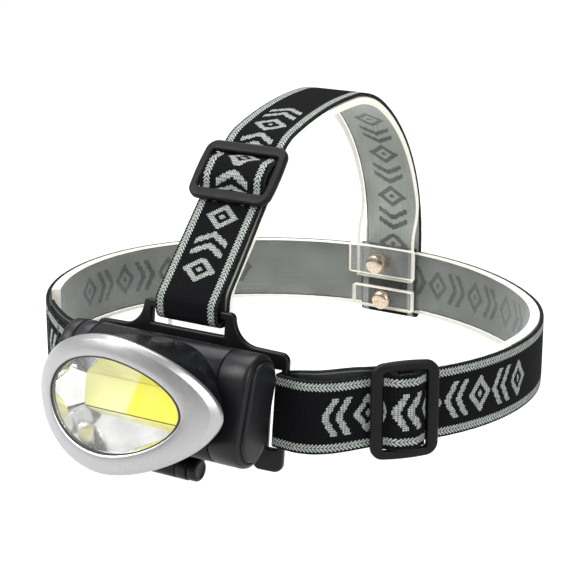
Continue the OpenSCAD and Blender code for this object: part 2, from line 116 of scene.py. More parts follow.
class Graph:
    """Short calls for building the nodes of one material, or of the world."""

    def __init__(self, name, kind="materials"):
        self.block = getattr(bpy.data, kind).new(name)
        self.block.use_nodes = True
        self.tree = self.block.node_tree
        self.shader = self.tree.nodes.get("Principled BSDF")

    def put(self, socket, value):
        if isinstance(value, Value):
            self.tree.links.new(value.socket, socket)
        elif socket.type == "RGBA":
            socket.default_value = (*value, 1)
        else:
            socket.default_value = value

    def node(self, kind, inputs, out=0, **settings):
        """One output of a new node, with its inputs set or linked by number or name."""
        n = self.tree.nodes.new(kind)
        for k, v in settings.items():
            setattr(n, k, v)
        for k, v in inputs.items():
            self.put(n.inputs[k], v)
        return Value(self, n.outputs[out])

    def mix(self, factor, a, b):
        return self.node("ShaderNodeMix", {0: factor, 6: a, 7: b}, 2, data_type="RGBA")

    def vector(self, x, y):
        return self.node("ShaderNodeCombineXYZ", {0: x, 1: y})

    def split(self, vector):
        node = self.node("ShaderNodeSeparateXYZ", {0: vector}).socket.node
        return [Value(self, out) for out in node.outputs]

    def noise(self, scale, detail=2.0, rough=0.5, at=None):
        """Noise over the object, or over the vector at."""
        inputs = {"Scale": scale, "Detail": detail, "Roughness": rough}
        return self.node("ShaderNodeTexNoise", {"Vector": at or self.place(), **inputs})

    def grain(self, scale, detail=2.0, low=0.0, high=1.0, at=None):
        """Noise stretched from its usual 0.3..0.7 onto low..high."""
        return self.noise(scale, detail, at=at).span(0.3, 0.7, low, high)

    def place(self):
        return self.node("ShaderNodeTexCoord", {}, "Object")

    def cloth(self):
        """Length along the strap, place across it in mm, and 1 where it is folded double."""
        return self.split(self.node("ShaderNodeAttribute", {}, "Vector", attribute_name="cloth"))

    def set(self, **values):
        for name, v in values.items():
            self.put(self.shader.inputs[name.replace("_", " ")], v)
        return self.block

    def bump(self, height, distance, strength):
        inputs = {"Strength": strength, "Distance": distance, "Height": height}
        return self.set(Normal=self.node("ShaderNodeBump", inputs))


# The weave in mm: stitches, pattern groups, stripes and the margin of a folded part
STITCH_S, STITCH_V = 0.95, 0.72
MOTIF_PERIOD, MOTIF_GROUP, MOTIF_CELL, MOTIF_HALF = 143.0, 84.8, 10.6, 6.6
LOZENGE_HALF, LOZENGE_HOLE, LOZENGE_CORE = 4.9, 0.56, 0.2
CHEVRON_SLOPE, CHEVRON_AT, CHEVRON_HALF = 0.55, (-0.9, 3.6), 1.15
BAND_PHASE, CROWN_PHASE = -3.0, 69.0
STRIPE_AT, STRIPE_HALF, STRIPE_JAGS, BRAID_S = 10.35, 1.1, 0.6, 1.25
MARGIN_FROM, MARGIN_MORE, MARGIN_LINE = 11.7, 6.0, 11.4


def wave(value, pitch):
    """0 to 1 hump of the given pitch."""
    return abs((value * (pi / pitch)).sine())


def near(value, middle, half):
    """1 where value is within half of middle."""
    return abs(value - middle) < half


def stepped(value, step):
    return ((value / step).floor() + 0.5) * step


def motif(s, v):
    """Woven band of hollow lozenges and chevrons in groups, stepped to the stitches."""
    across = abs(stepped(v, STITCH_V))
    along = stepped(s, STITCH_S * 0.6) % MOTIF_PERIOD
    number = (along / MOTIF_CELL).floor()
    local = along - (number + 0.5) * MOTIF_CELL
    reach = abs(local) / LOZENGE_HALF + across / (MOTIF_HALF + 0.3)
    outline = (reach < 1.0) * (reach > LOZENGE_HOLE)
    lozenge = outline.most(reach < LOZENGE_CORE)
    lean = local + across * CHEVRON_SLOPE
    first, second = [near(lean, at, CHEVRON_HALF) for at in CHEVRON_AT]
    odd = number % 2.0
    shape = odd * first.most(second) + (1.0 - odd) * lozenge
    return shape * (along < MOTIF_GROUP) * (across < MOTIF_HALF)


def stitch_height(s, v):
    """Knit loops: wales across the strap with a slant that turns at each column."""
    slant = abs((v / STITCH_V).fract() - 0.5)
    loops = wave(s / STITCH_S + slant, 1.0)
    return (0.35 + loops * 0.65) * (0.4 + wave(v, STITCH_V) * 0.6)


def braid_height(s, from_middle):
    """Two columns of slanted loops that meet at the middle of a stripe."""
    loops = wave(s / BRAID_S + from_middle * 0.75, 1.0)
    return loops * from_middle.span(0.0, 0.25, 0.45, 1.0)


def webbing_face():
    """Outer face: black knit, with grey braided stripes and the grey motif."""
    g = Graph("webbing_face")
    s, v, _ = g.cloth()
    from_middle = abs(abs(v) - STRIPE_AT)
    jagged = (wave(s, BRAID_S) - 0.5) * STRIPE_JAGS
    stripe = from_middle - jagged < STRIPE_HALF
    height = stripe * braid_height(s, from_middle) + (1.0 - stripe) * stitch_height(s, v)
    fleck = g.noise(1.0, 3.0, at=g.vector(s * 1.3, v * 2.2))
    black = g.mix(fleck.span(0.35, 0.75), (0.0009, 0.001, 0.0014), (0.0085, 0.0088, 0.0105))
    # Painted highlight: the black ground is lighter on the tops of the loops.
    black = g.mix(height.span(0.55, 0.9, 0.0, 0.35), black, (0.015, 0.0155, 0.018))
    yarn = g.grain(0.8, at=g.vector(s * 0.5, v))
    pale = g.mix(yarn, (0.30, 0.335, 0.305), (0.47, 0.505, 0.47))
    # Painted shade: the grey yarn darkens to near black in the hollows between loops.
    grey = g.mix(height.span(0.22, 0.72), (0.018, 0.02, 0.019), pale)
    g.set(
        Base_Color=g.mix(stripe.most(motif(s, v)), black, grey),
        Roughness=fleck.span(0.2, 0.8, 0.72, 0.92),
        Specular_IOR_Level=0.05,
        Sheen_Weight=0.008,
        Sheen_Roughness=0.5,
    )
    return g.bump(height, 0.00022, 0.8)


def webbing_back(name, shade):
    """Inner face of a strap; shade scales the light yarn. One cloth with painted light and shade:
    darker on the headband, lighter on the crown strap.
    """

    def yarn(*colour):
        return tuple(shade * c for c in colour)

    g = Graph(name)
    s, v, doubled = g.cloth()
    lines = g.noise(1.0, 4.0, 0.7, g.vector(s * 0.06, v * 1.7)).span(0.25, 0.75)
    cloud = g.grain(1.0, 2.0, 0.0, 0.3, g.vector(s * 0.05, v * 0.1))
    height = stitch_height(s, v)
    light = g.mix(lines, yarn(0.158, 0.178, 0.158), yarn(0.312, 0.335, 0.295))
    light = g.mix(cloud, light, yarn(0.165, 0.195, 0.172))
    margin = abs(v) > MARGIN_FROM - doubled * MARGIN_MORE
    line = near(abs(v), MARGIN_LINE, 0.3) * doubled
    dark = motif(s, v).most(margin - line * 0.75)
    colour = g.mix(dark * 0.95, light, (0.010, 0.012, 0.011))
    # Painted shade: darker in the hollows between stitches.
    colour = g.mix(height.span(0.1, 0.5, 0.25, 0.0), colour, (0.06, 0.07, 0.065))
    g.set(Base_Color=colour, Roughness=0.85, Specular_IOR_Level=0.15)
    return g.bump(height, 0.00018, 0.6)


def webbing_edge():
    g = Graph("webbing_edge")
    s, v, _ = g.cloth()
    fuzz = g.noise(1.4, 3.0, at=g.vector(s, v * 3.0))
    colour = g.mix(fuzz.span(0.45, 0.8), (0.007, 0.007, 0.008), (0.05, 0.052, 0.052))
    g.set(Base_Color=colour, Roughness=0.9, Specular_IOR_Level=0.12)
    return g.bump(wave(s, STITCH_S * 0.8), 0.0002, 0.7)


ROUGH_SPREAD = 0.06


def plastic(name, dark, light, roughness, grain=0.00002, cells=2600.0, gloss=0.24):
    """Moulded plastic: fine grain, faint cloudiness and paler worn edges."""
    g = Graph(name)
    worn = g.node("ShaderNodeNewGeometry", {}, "Pointiness").span(0.52, 0.62, 0.0, 0.5)
    rubbed = tuple(c * 2.2 + 0.01 for c in light)
    smooth, rough = roughness - ROUGH_SPREAD, roughness + ROUGH_SPREAD
    g.set(
        Base_Color=g.mix(worn, g.mix(g.grain(60.0, 3.0), dark, light), rubbed),
        Roughness=g.noise(220.0, 3.0).span(0.25, 0.75, smooth, rough),
        Specular_IOR_Level=gloss,
    )
    return g.bump(g.noise(cells), grain, 0.5)


def silver_paint():
    g = Graph("silver_paint")
    flake = g.noise(7000.0, 1.0)
    colour = g.mix(flake.span(0.3, 0.7), (0.34, 0.34, 0.342), (0.56, 0.56, 0.563))
    colour = g.mix(g.grain(45.0, 2.0, 0.0, 0.12), colour, (0.46, 0.46, 0.463))
    rough = g.grain(500.0, 2.0, 0.33, 0.4)
    g.set(Base_Color=colour, Metallic=0.86, Roughness=rough, Coat_Weight=0.15, Coat_Roughness=0.2)
    return g.bump(flake, 0.000008, 0.35)


def mirror_coat():
    g = Graph("mirror_coat")
    ripple = g.noise(260.0, 3.0)
    colour = g.mix(g.grain(130.0), (0.70, 0.70, 0.70), (0.86, 0.86, 0.86))
    g.set(Base_Color=colour, Metallic=1.0, Roughness=ripple.span(0.3, 0.7, 0.09, 0.16))
    return g.bump(ripple, 0.0001, 0.3)


def phosphor():
    """Yellow silicone over the emitters, paler towards one end: a painted reflection of a studio
    lamp in the lens.
    """
    g = Graph("phosphor")
    x, _, z = g.split(g.place())
    grains = g.noise(1800.0, 3.0)
    fine = grains.span(0.3, 0.7)
    pale = g.mix(fine, (0.90, 0.88, 0.30), (0.95, 0.94, 0.45))
    full = g.mix(fine, (0.88, 0.80, 0.01), (0.95, 0.88, 0.03))
    # Painted reflection: paler yellow towards one end.
    colour = g.mix((x + z * -0.4).span(-0.0024, -0.0010), pale, full)
    rough = grains.span(0.3, 0.7, 0.35, 0.5)
    g.set(Base_Color=colour, Roughness=rough, Emission_Color=colour, Emission_Strength=0.28)
    return g.bump(grains, 0.00004, 0.4)


def clear(name, haze, tint, roughness, gloss_and_sheen_share):
    """Clear plastic: mostly see-through, with faint haze and smears, and gloss at glancing angles
    where the pale tint turns opaque, partly a painted sheen.
    """
    g = Graph(name)
    smear = g.noise(90.0, 4.0).span(0.35, 0.75, 0.0, 0.05)
    # Partly real gloss, partly painted sheen: the pale tint turns opaque at glancing angles.
    glancing = g.node("ShaderNodeLayerWeight", {}, "Facing").power(4.0)
    return g.set(
        Base_Color=g.mix(g.noise(30.0), tint, tuple(c * 1.03 for c in tint)),
        Roughness=g.grain(300.0, 2.0, roughness, roughness + 0.04),
        IOR=1.5,
        Alpha=haze + smear + glancing * gloss_and_sheen_share,
    )


def bright_edge():
    """Sawn edge of clear plastic, which collects the light and looks cream."""
    g = Graph("bright_edge")
    saw = g.noise(900.0)
    cloud = g.noise(25.0, 3.0).span(0.35, 0.7)
    g.set(
        Base_Color=g.mix(cloud, (0.92, 0.90, 0.83), (0.80, 0.74, 0.60)),
        Roughness=saw.span(0.3, 0.7, 0.2, 0.4),
        Emission_Color=(0.95, 0.92, 0.84),
        Emission_Strength=0.18,
        Alpha=0.86,
    )
    return g.bump(saw, 0.00003, 0.4)


def metal(name, dark, light, roughness, scale=700.0):
    g = Graph(name)
    lines = g.noise(scale, 3.0)
    rough = g.grain(260.0, 2.0, roughness - 0.05, roughness + 0.1)
    g.set(Base_Color=g.mix(lines.span(0.3, 0.7), dark, light), Metallic=1.0, Roughness=rough)
    return g.bump(lines, 0.00002, 0.5)


def foam():
    """Knitted cloth over foam."""
    g = Graph("foam_cloth")
    x, _, z = g.split(g.place())
    mesh = wave(x + z, 0.0011) * wave(x - z, 0.0011)
    fuzz = g.noise(900.0, 3.0)
    colour = g.mix(fuzz.span(0.3, 0.75), (0.012, 0.012, 0.013), (0.045, 0.045, 0.047))
    colour = g.mix(mesh.span(0.0, 0.35, 0.6, 0.0), colour, (0.006, 0.006, 0.006))
    g.set(Base_Color=colour, Roughness=0.95, Sheen_Weight=0.4, Sheen_Roughness=0.4)
    return g.bump(mesh, 0.0003, 0.8)


def cell_wrap():
    """Battery jacket: blue with faint rings, and a copper-coloured band at one end."""
    g = Graph("cell_wrap")
    x = g.split(g.place())[0]
    rings = near(x % 0.009, 0.0045, 0.0004) * 0.6
    blue = g.mix(g.noise(60.0), (0.02, 0.09, 0.24), (0.03, 0.12, 0.30))
    blue = g.mix(rings, blue, (0.5, 0.55, 0.6))
    colour = g.mix(x > 0.014, blue, (0.55, 0.28, 0.10))
    g.set(Base_Color=colour, Metallic=0.3, Roughness=g.grain(300.0, 2.0, 0.2, 0.32))
    return g.bump(g.noise(200.0), 0.00005, 0.3)


def circuit():
    """Green board with traces under the solder mask."""
    g = Graph("circuit")
    x, _, z = g.split(g.place())
    upright, level = near(x % 0.004, 0.002, 0.0003), near(z % 0.005, 0.0025, 0.0003)
    traces = upright.most(level)
    colour = g.mix(traces, (0.01, 0.09, 0.03), (0.02, 0.17, 0.06))
    g.set(Base_Color=colour, Roughness=g.grain(400.0, 2.0, 0.3, 0.42), Coat_Weight=0.4)
    return g.bump(traces, 0.00005, 0.5)


def thread():
    g = Graph("thread")
    twist = g.noise(2500.0)
    colour = g.mix(twist.span(0.3, 0.7), (0.012, 0.012, 0.013), (0.05, 0.05, 0.052))
    g.set(Base_Color=colour, Roughness=0.6, Sheen_Weight=0.3)
    return g.bump(twist, 0.00005, 0.6)


def floor_paint():
    g = Graph("floor_paint")
    return g.set(
        Base_Color=g.mix(g.noise(3.0), (0.26, 0.26, 0.26), (0.28, 0.28, 0.28)),
        Roughness=0.7,
        Specular_IOR_Level=0.0,
        Emission_Color=(1.0, 1.0, 1.0),
        Emission_Strength=0.88,
    )


FACE, EDGE = webbing_face(), webbing_edge()
# One cloth: shade paints the headband's inner face darker and the crown strap's lighter, painted
# shade and painted light.
SHADED_BAND_BACK, LIT_CROWN_BACK = webbing_back("band_back_painted_shade", 0.5), webbing_back("crown_back_painted_light", 1.17)
THREAD = thread()
BLACK = plastic(
    "black_plastic", (0.0026, 0.0028, 0.0042), (0.005, 0.0053, 0.0072), 0.3, gloss=0.19
)
CAP_BLACK = plastic("cap_plastic", (0.005, 0.0052, 0.0062), (0.0095, 0.0098, 0.0114), 0.36)
SLIDER_BLACK = plastic(
    "slider_plastic", (0.0036, 0.0034, 0.0038), (0.0075, 0.007, 0.0074), 0.44, 0.00003, 3200.0, 0.15
)
BRACKET_BLACK = plastic("bracket_plastic", (0.0025, 0.0025, 0.003), (0.0055, 0.0056, 0.006), 0.36)
RUBBER = plastic(
    "button_rubber", (0.014, 0.014, 0.015), (0.022, 0.022, 0.023), 0.55, 0.00004, 2000.0
)
SEAL = plastic("seal_rubber", (0.16, 0.012, 0.01), (0.24, 0.02, 0.015), 0.5)
GASKET = plastic("gasket_rubber", (0.02, 0.02, 0.02), (0.035, 0.035, 0.035), 0.6)
WIRE = plastic("wire_jacket", (0.30, 0.015, 0.01), (0.42, 0.02, 0.015), 0.45)
TRAY = plastic("tray_plastic", (0.02, 0.02, 0.021), (0.035, 0.035, 0.036), 0.5)
SILVER = silver_paint()
MIRROR = mirror_coat()
PHOSPHOR = phosphor()
CLEAR = clear("clear_plastic", 0.035, (0.84, 0.88, 0.86), 0.16, 0.4)
LENS = clear("clear_lens", 0.02, (0.96, 0.97, 0.97), 0.015, 0.35)
BRIGHT = bright_edge()
BRASS = metal("brass_nickel", (0.62, 0.50, 0.36), (0.80, 0.70, 0.56), 0.24, 900.0)
STEEL = metal("spring_steel", (0.42, 0.42, 0.44), (0.62, 0.62, 0.64), 0.28)
BOARD = metal("board_aluminium", (0.72, 0.73, 0.74), (0.84, 0.85, 0.86), 0.35)
CELL = cell_wrap()
CIRCUIT = circuit()
FOAM = foam()


# ---- Frames ----
def moved(x, y, z):
    return Matrix.Translation((x, y, z))


def spun(angle, axis):
    return Matrix.Rotation(radians(angle), 4, axis)


def leaned(angle, y0, z0):
    """Frame at (0, y0, z0) that leans back by angle about X."""
    return moved(0, y0, z0) @ spun(-angle, "X")


PLATE = leaned(PLATE_LEAN, PLATE_Y, 0)
TUBE = leaned(TUBE_LEAN, LAMP_Y, LAMP_Z)
BEAM = leaned(BEAM_LIFT, LAMP_Y, LAMP_Z)
WORLD = Matrix.Identity(4)
HEADBAND_SLIDER = (
    moved(*FRONT_C, 0) @ spun(SLIDER_AT, "Z") @ moved(FRONT_R, 0, 0) @ spun(90, "Z") @ spun(90, "X")
)
CROWN_SLIDER = moved(0, *SLOPE_FOOT) @ spun(SLOPE, "X") @ moved(0, CROWN_S, 0) @ spun(90, "Z")


# ---- Mesh making ----
def piece(name, verts, faces, materials, body, where=WORLD, kinds=None, cloth=None):
    """A mesh object from points in mm in the frame `where`, riding on a body.
    kinds gives each face's material, cloth each point's place on its strap."""
    mesh = bpy.data.meshes.new(name)
    mesh.from_pydata([(where @ Vector(v)) * MM for v in verts], [], faces)
    for m in materials:
        mesh.materials.append(m)
    if kinds:
        for p, k in zip(mesh.polygons, kinds):
            p.material_index = k
    if cloth:
        layer = mesh.attributes.new("cloth", "FLOAT_VECTOR", "POINT")
        for item, c in zip(layer.data, cloth):
            item.vector = c
    obj = in_scene(name, mesh)
    outwards(obj)
    for p in mesh.polygons:
        p.use_smooth = True
    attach(obj, body)
    return obj


def stands_for(obj, node, angle=None):
    """Hides the CAD node that a piece replaces, and makes it crisp above the angle."""
    if angle:
        crisp(obj, angle)
    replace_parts(obj, node)


def in_scene(name, data):
    obj = bpy.data.objects.new(name, data)
    bpy.context.scene.collection.objects.link(obj)
    return obj


def outwards(obj):
    """Joins points that meet, and turns every face outwards."""
    bm = bmesh.new()
    bm.from_mesh(obj.data)
    bmesh.ops.remove_doubles(bm, verts=bm.verts, dist=1e-7)
    bmesh.ops.recalc_face_normals(bm, faces=bm.faces)
    bm.to_mesh(obj.data)
    bm.free()


def crisp(obj, angle=35):
    """Smooth shading that keeps edges sharper than the angle."""
    obj.data.set_sharp_from_angle(angle=radians(angle))
    return obj


def evaluated(obj):
    """Mesh of an object as its modifiers or its curve make it."""
    graph = bpy.context.evaluated_depsgraph_get()
    graph.update()
    made = obj.evaluated_get(graph)
    return bpy.data.meshes.new_from_object(made, preserve_all_data_layers=True, depsgraph=graph)


def applied(obj):
    mesh = evaluated(obj)
    obj.modifiers.clear()
    obj.data = mesh


def strip(n, k):
    """Quads between ring number k and the next, each of n points."""
    a, b = k * n, (k + 1) * n
    return [(a + i, a + (i + 1) % n, b + (i + 1) % n, b + i) for i in range(n)]


def loft(name, rings, materials, body, where=WORLD, joined=False):
    """A skin through rings, closed by a fan at each end, or joined from the last to the first."""
    n = len(rings[0])
    end = (len(rings) - 1) * n
    verts = [p for r in rings for p in r]
    faces = [f for k in range(len(rings) - 1) for f in strip(n, k)]
    if joined:
        faces += [(end + i, end + (i + 1) % n, (i + 1) % n, i) for i in range(n)]
        return piece(name, verts, faces, materials, body, where)
    for first, ring in ((0, rings[0]), (end, rings[-1])):
        verts.append(tuple(sum(p[a] for p in ring) / n for a in range(3)))
        faces += [(len(verts) - 1, first + i, first + (i + 1) % n) for i in range(n)]
    return piece(name, verts, faces, materials, body, where)


def eye(a, b, n, y, s, count=192):
    """Eye-shaped ring: half width a, half height b, power n, depth y, side sweep s."""
    ring = []
    for i in range(count):
        t = 2 * pi * i / count
        c, d = cos(t), sin(t)
        c = copysign(abs(c) ** (2 / n), c)
        d = copysign(abs(d) ** (2 / n), d)
        ring.append((a * c, y + s * c * c, b * d))
    return ring


ARC_STEPS, FLAT_STEPS = 22, 8


def stadium(x, inset):
    """Stadium ring across X, drawn in by inset."""
    r = TUBE_D / 2 - inset
    reach = (TUBE_H - TUBE_D) / 2
    ring = []
    for side in (1, -1):
        for k in range(ARC_STEPS + 1):
            t = pi * k / ARC_STEPS
            ring.append((x, side * r * cos(t), side * (reach + r * sin(t))))
        for k in range(1, FLAT_STEPS):
            ring.append((x, -side * r, side * (reach - 2 * reach * k / FLAT_STEPS)))
    return ring


def turned(name, profile, materials, body, where, count=48, ribs=0, rib_depth=0.0):
    """A turned piece from (radius, height) pairs about Z of `where`, with optional grip ribs."""
    turns = [2 * pi * i / count for i in range(count)]
    shares = [1 + rib_depth * cos(ribs * t) for t in turns]
    rings = [
        [(r * k * cos(t), r * k * sin(t), z) for t, k in zip(turns, shares)]
        for r, z in profile
    ]
    return crisp(loft(name, rings, materials, body, where))


def hull2(points):
    """Convex outline of 2D points."""
    pts = sorted(set(points))

    def half(seq):
        out = []
        for x, y in seq:
            while len(out) > 1:
                (ax, ay), (bx, by) = out[-2:]
                if (bx - ax) * (y - ay) - (by - ay) * (x - ax) > 0:
                    break
                out.pop()
            out.append((x, y))
        return out[:-1]

    return half(pts) + half(pts[::-1])


def slab(name, outline, x0, x1, materials, body, where=WORLD, edge=0.5):
    """An outline in Y and Z made solid from x0 to x1, with rounded edges."""
    n = len(outline)
    verts = [(x, y, z) for x in (x0, x1) for y, z in outline]
    faces = [tuple(range(n)), tuple(range(2 * n - 1, n - 1, -1)), *strip(n, 0)]
    obj = piece(name, verts, faces, materials, body, where)
    m = obj.modifiers.new("round", "BEVEL")
    m.width = edge * MM
    m.segments = 3
    m.limit_method = "ANGLE"
    m.angle_limit = radians(35)
    m.use_clamp_overlap = True
    applied(obj)
    crisp(obj, 40)


def arc2(x, y, r, start, end, steps=6):
    """Points on a circle about (x, y), between two angles in degrees."""
    turns = [radians(start + (end - start) * k / steps) for k in range(steps + 1)]
    return [(x + r * cos(t), y + r * sin(t)) for t in turns]


def circle2(x, y, r):
    return arc2(x, y, r, 0, 360, 32)[:-1]


def rounded2(w, h, r, steps=8, x=0.0, y=0.0):
    """Rounded rectangle outline about (x, y)."""
    out = []
    for cx, cy, start in ((1, 1, 0), (-1, 1, 90), (-1, -1, 180), (1, -1, 270)):
        corner = (x + cx * (w / 2 - r), y + cy * (h / 2 - r))
        out += arc2(*corner, r, start, start + 90, steps)
    return out


def outlined(outlines, thick, edge):
    """Mesh of a plate with rounded edges, from its outline and holes."""
    curve = bpy.data.curves.new("outline", "CURVE")
    curve.dimensions = "2D"
    curve.fill_mode = "BOTH"
    curve.extrude = thick / 2 - edge
    curve.bevel_depth = edge
    curve.bevel_resolution = 3
    curve.offset = -edge
    for outline in outlines:
        spline = curve.splines.new("POLY")
        spline.points.add(len(outline) - 1)
        for p, (x, y) in zip(spline.points, outline):
            p.co = (x, y, 0, 1)
        spline.use_cyclic_u = True
    holder = in_scene("outline", curve)
    flat = evaluated(holder)
    bpy.data.objects.remove(holder)
    return flat


def pierced(name, outlines, thick, edge, materials, body, where, shape=None, cuts=()):
    """A plate from an outline and its holes in X and Y, thick in Z, with rounded edges.
    cuts are X places where it is divided so that shape can bend it."""
    flat = outlined(outlines, thick, edge)
    bm = bmesh.new()
    bm.from_mesh(flat)
    bmesh.ops.remove_doubles(bm, verts=bm.verts, dist=0.0005)
    for x in cuts:
        geom = bm.verts[:] + bm.edges[:] + bm.faces[:]
        bmesh.ops.bisect_plane(bm, geom=geom, plane_co=(x, 0, 0), plane_no=(1, 0, 0))
    verts = [tuple(shape(v.co)) if shape else tuple(v.co) for v in bm.verts]
    bm.verts.index_update()
    faces = [tuple(v.index for v in f.verts) for f in bm.faces]
    bm.free()
    bpy.data.meshes.remove(flat)
    return crisp(piece(name, verts, faces, materials, body, where), 30)


# ---- Straps ----
def ahead(p, step):
    """Walks an arc (radius, turn) or a straight (0, length) from the pose (x, y, heading)."""
    r, amount = step
    h = radians(p[2])
    if r == 0:
        return (p[0] + amount * cos(h), p[1] + amount * sin(h), p[2])
    k = radians(p[2] + amount)
    r = copysign(r, amount)
    return (p[0] + r * (sin(k) - sin(h)), p[1] - r * (cos(k) - cos(h)), p[2] + amount)


def walk(p, steps, pace=1.2):
    out = [p]
    for step in steps:
        r, amount = step
        length = amount if r == 0 else r * abs(radians(amount))
        n = max(2, ceil(length / pace), ceil(abs(amount) / 12) if r else 0)
        out += [ahead(p, (r, amount * (i + 1) / n)) for i in range(n)]
        p = ahead(p, step)
    return out


def bridge(p, q, count=7):
    """A smooth curve between two poses, without its ends."""
    size = hypot(q[0] - p[0], q[1] - p[1])
    a, b = radians(p[2]), radians(q[2])
    ends_x = (p[0], size * cos(a), q[0], size * cos(b))
    ends_y = (p[1], size * sin(a), q[1], size * sin(b))

    def blend(shares, ends):
        return sum(share * end for share, end in zip(shares, ends))

    out = []
    for t in [i / count for i in range(1, count)]:
        h = (2 * t**3 - 3 * t**2 + 1, t**3 - 2 * t**2 + t, -2 * t**3 + 3 * t**2, t**3 - t**2)
        d = (6 * t**2 - 6 * t, 3 * t**2 - 4 * t + 1, -6 * t**2 + 6 * t, 3 * t**2 - 2 * t)
        heading = atan2(blend(d, ends_y), blend(d, ends_x))
        out.append((blend(h, ends_x), blend(h, ends_y), degrees(heading)))
    return out


def lengths(path):
    out = [0.0]
    for p, q in zip(path, path[1:]):
        out.append(out[-1] + hypot(q[0] - p[0], q[1] - p[1]))
    return out


def eased(value, low, high):
    """0 below low, 1 above high, smooth between."""
    t = min(1.0, max(0.0, (value - low) / (high - low)))
    return t * t * (3 - 2 * t)


# Points across each face of a strap, how far its edge is rounded, and how far its faces crown
COLUMNS, EDGE_IN, EDGE_R, CROWNED = 30, 0.45, 0.42, 0.10


def section(width):
    """Closed section of a woven strap: (across, out, kind), kind 0 face, 1 back, 2 edge."""
    half, mid = width / 2, STRAP_T / 2
    out = []
    for side, kind in ((1, 0), (-1, 1)):
        for i in range(COLUMNS + 1):
            v = (width - 2 * EDGE_IN) * i / COLUMNS - half + EDGE_IN
            out.append((side * v, side * (mid - CROWNED * (abs(v) / half) ** 6) - mid, kind))
        for t in (60, 30, 0, -30, -60):
            a = radians(side * t)
            v = half - EDGE_R + EDGE_R * cos(a)
            out.append((side * v, mid * (0.92 * sin(a) - 1), 2))
    return out


def strap(name, stations, body, phase, width=STRAP_W, doubled=None, back=SHADED_BAND_BACK):
    """Webbing along stations (point on the outer face, direction across, outward, length).
    doubled says at which lengths the strap is folded back, where its dark margin shows."""
    ring = section(width)
    n = len(ring)
    marks = [max(ring[i][2], ring[(i + 1) % n][2]) for i in range(n)]
    verts, cloth, faces = [], [], []
    for point, across, out, s in stations:
        folded = 1.0 if doubled and doubled(s) else 0.0
        for v, o, _ in ring:
            wobble = 0.05 * sin(s * 2.1) * (abs(v) / (width / 2)) ** 8
            verts.append(point + across * (v + copysign(wobble, v)) + out * o)
            cloth.append((s - phase, v, folded))
    last = len(stations) - 1
    for k in range(last):
        faces += strip(n, k)
    faces += [tuple(range(n)), tuple(range(last * n, last * n + n))]
    kinds = marks * last + [2, 2]
    obj = piece(name, verts, faces, [FACE, back, EDGE], body, WORLD, kinds, cloth)
    return crisp(obj, 50)


END_DROP = 2.4
RETURN_RISE = 1.95
BAND_FOLD, CROWN_FOLD = 236.0, 58.0
# Lengths about the ear's fold over which the band leans onto the bracket, rises and stands up again
LEANS, RISES, STANDS = (-30, 0), (16, 30), (25, 47)
RETURN_FROM = -58


def on_band(x, y, heading, lean, s):
    """Station on the headband: lean is 0 on the ring and 1 where it lies on the leaning bracket."""
    h, tilt = radians(heading), radians(PLATE_LEAN) * lean
    across = Vector((0, sin(tilt), cos(tilt)))
    out = Vector((-sin(h), cos(h) * cos(tilt), -cos(h) * sin(tilt)))
    drop = END_DROP * lean
    forward = (y - PLATE_Y) * sin(tilt)
    point = Vector((x, y - drop * sin(tilt), -drop * cos(tilt) - forward * lean))
    return point, across, out, s


def plate_pose(p):
    return (p[0], PLATE_Y + p[1] * cos(radians(PLATE_LEAN)), p[2])


def half_band(back_at):
    """Right half of the headband: from the rear round to the bracket, through the ear and back.
    back_at is the angle on the front arc where the returned layer ends."""
    ring = walk((0, RING_Y, 0), [(REAR_R, -47.84), (SIDE_R, -39.46), (FRONT_R, -69.0)])
    turns = [(0, 6.45), (1.7, -82), (0, 3), (1.7, -95), (0, 4), (10, -8), (0, 1)]
    loop = [plate_pose(p) for p in walk(ahead((47, -0.7, -188), (0, 4)), turns, 0.8)]
    inner_r = FRONT_R - 2 * STRAP_T - 0.08
    a = radians(RETURN_FROM)
    back = (
        FRONT_C[0] + inner_r * cos(a), FRONT_C[1] + inner_r * sin(a), RETURN_FROM + 90 - 360
    )
    returned = walk(back, [(inner_r, back_at - RETURN_FROM)])
    path = ring + bridge(ring[-1], loop[0]) + loop + bridge(loop[-1], returned[0], 10) + returned
    s = lengths(path)
    fold = s[len(ring) - 1]

    def passed(at, zone):
        return eased(at, fold + zone[0], fold + zone[1])

    stations = []
    for (x, y, h), at in zip(path, s):
        lean = passed(at, LEANS) - passed(at, STANDS)
        point, across, out, _ = on_band(x, y, h, lean, at)
        stations.append((point + across * (RETURN_RISE * passed(at, RISES)), across, out, at))
    return stations


def mirrored(stations):
    flip = Vector((-1, 1, 1))
    return [(p * flip, a, o * flip, -s) for p, a, o, s in stations]


def headband():
    right = half_band(SLIDER_AT)
    left = mirrored(half_band(SLIDER_AT - 3))
    stations = left[::-1] + right[1:]
    obj = strap(
        "headband_webbing", stations, "band", BAND_PHASE, doubled=lambda s: abs(s) > BAND_FOLD
    )
    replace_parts(obj, "headband", "headband_ends")


def aside(s):
    """The returned layer of the crown strap lies a little to one side of the outer layer."""
    return (1.2 + 0.9 * eased(s, 0, 40)) * (1 - eased(s, 44, 62))


CROWN_START = (-39.35, 60.69, SLOPE - 180)


def crown():
    steps = [
        (0, 38.2), (6, 37), (0, 6), (2.9, -180), (0, 2.9), (6.2, -37), (0, 60), (20, -28.4),
        (146.85, -17.6), (41.73, -31.2), (73.5, -58.8), (0, 30.5), (2.75, -180), (0, 27),
    ]
    path = walk(CROWN_START, steps)
    stations = []
    for (y, z, h), at in zip(path, lengths(path)):
        outward = Vector((0, -sin(radians(h)), cos(radians(h))))
        stations.append((Vector((aside(at), y, z)), Vector((1, 0, 0)), outward, at))
    obj = strap(
        "crown_webbing", stations, "band", CROWN_PHASE, STRAP_W, lambda s: s < CROWN_FOLD, LIT_CROWN_BACK
    )
    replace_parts(obj, "crown_strap")


HUMP_FROM, HUMP_RISE, HUMP_MIDDLE = -7.3, 0.15, 9.5


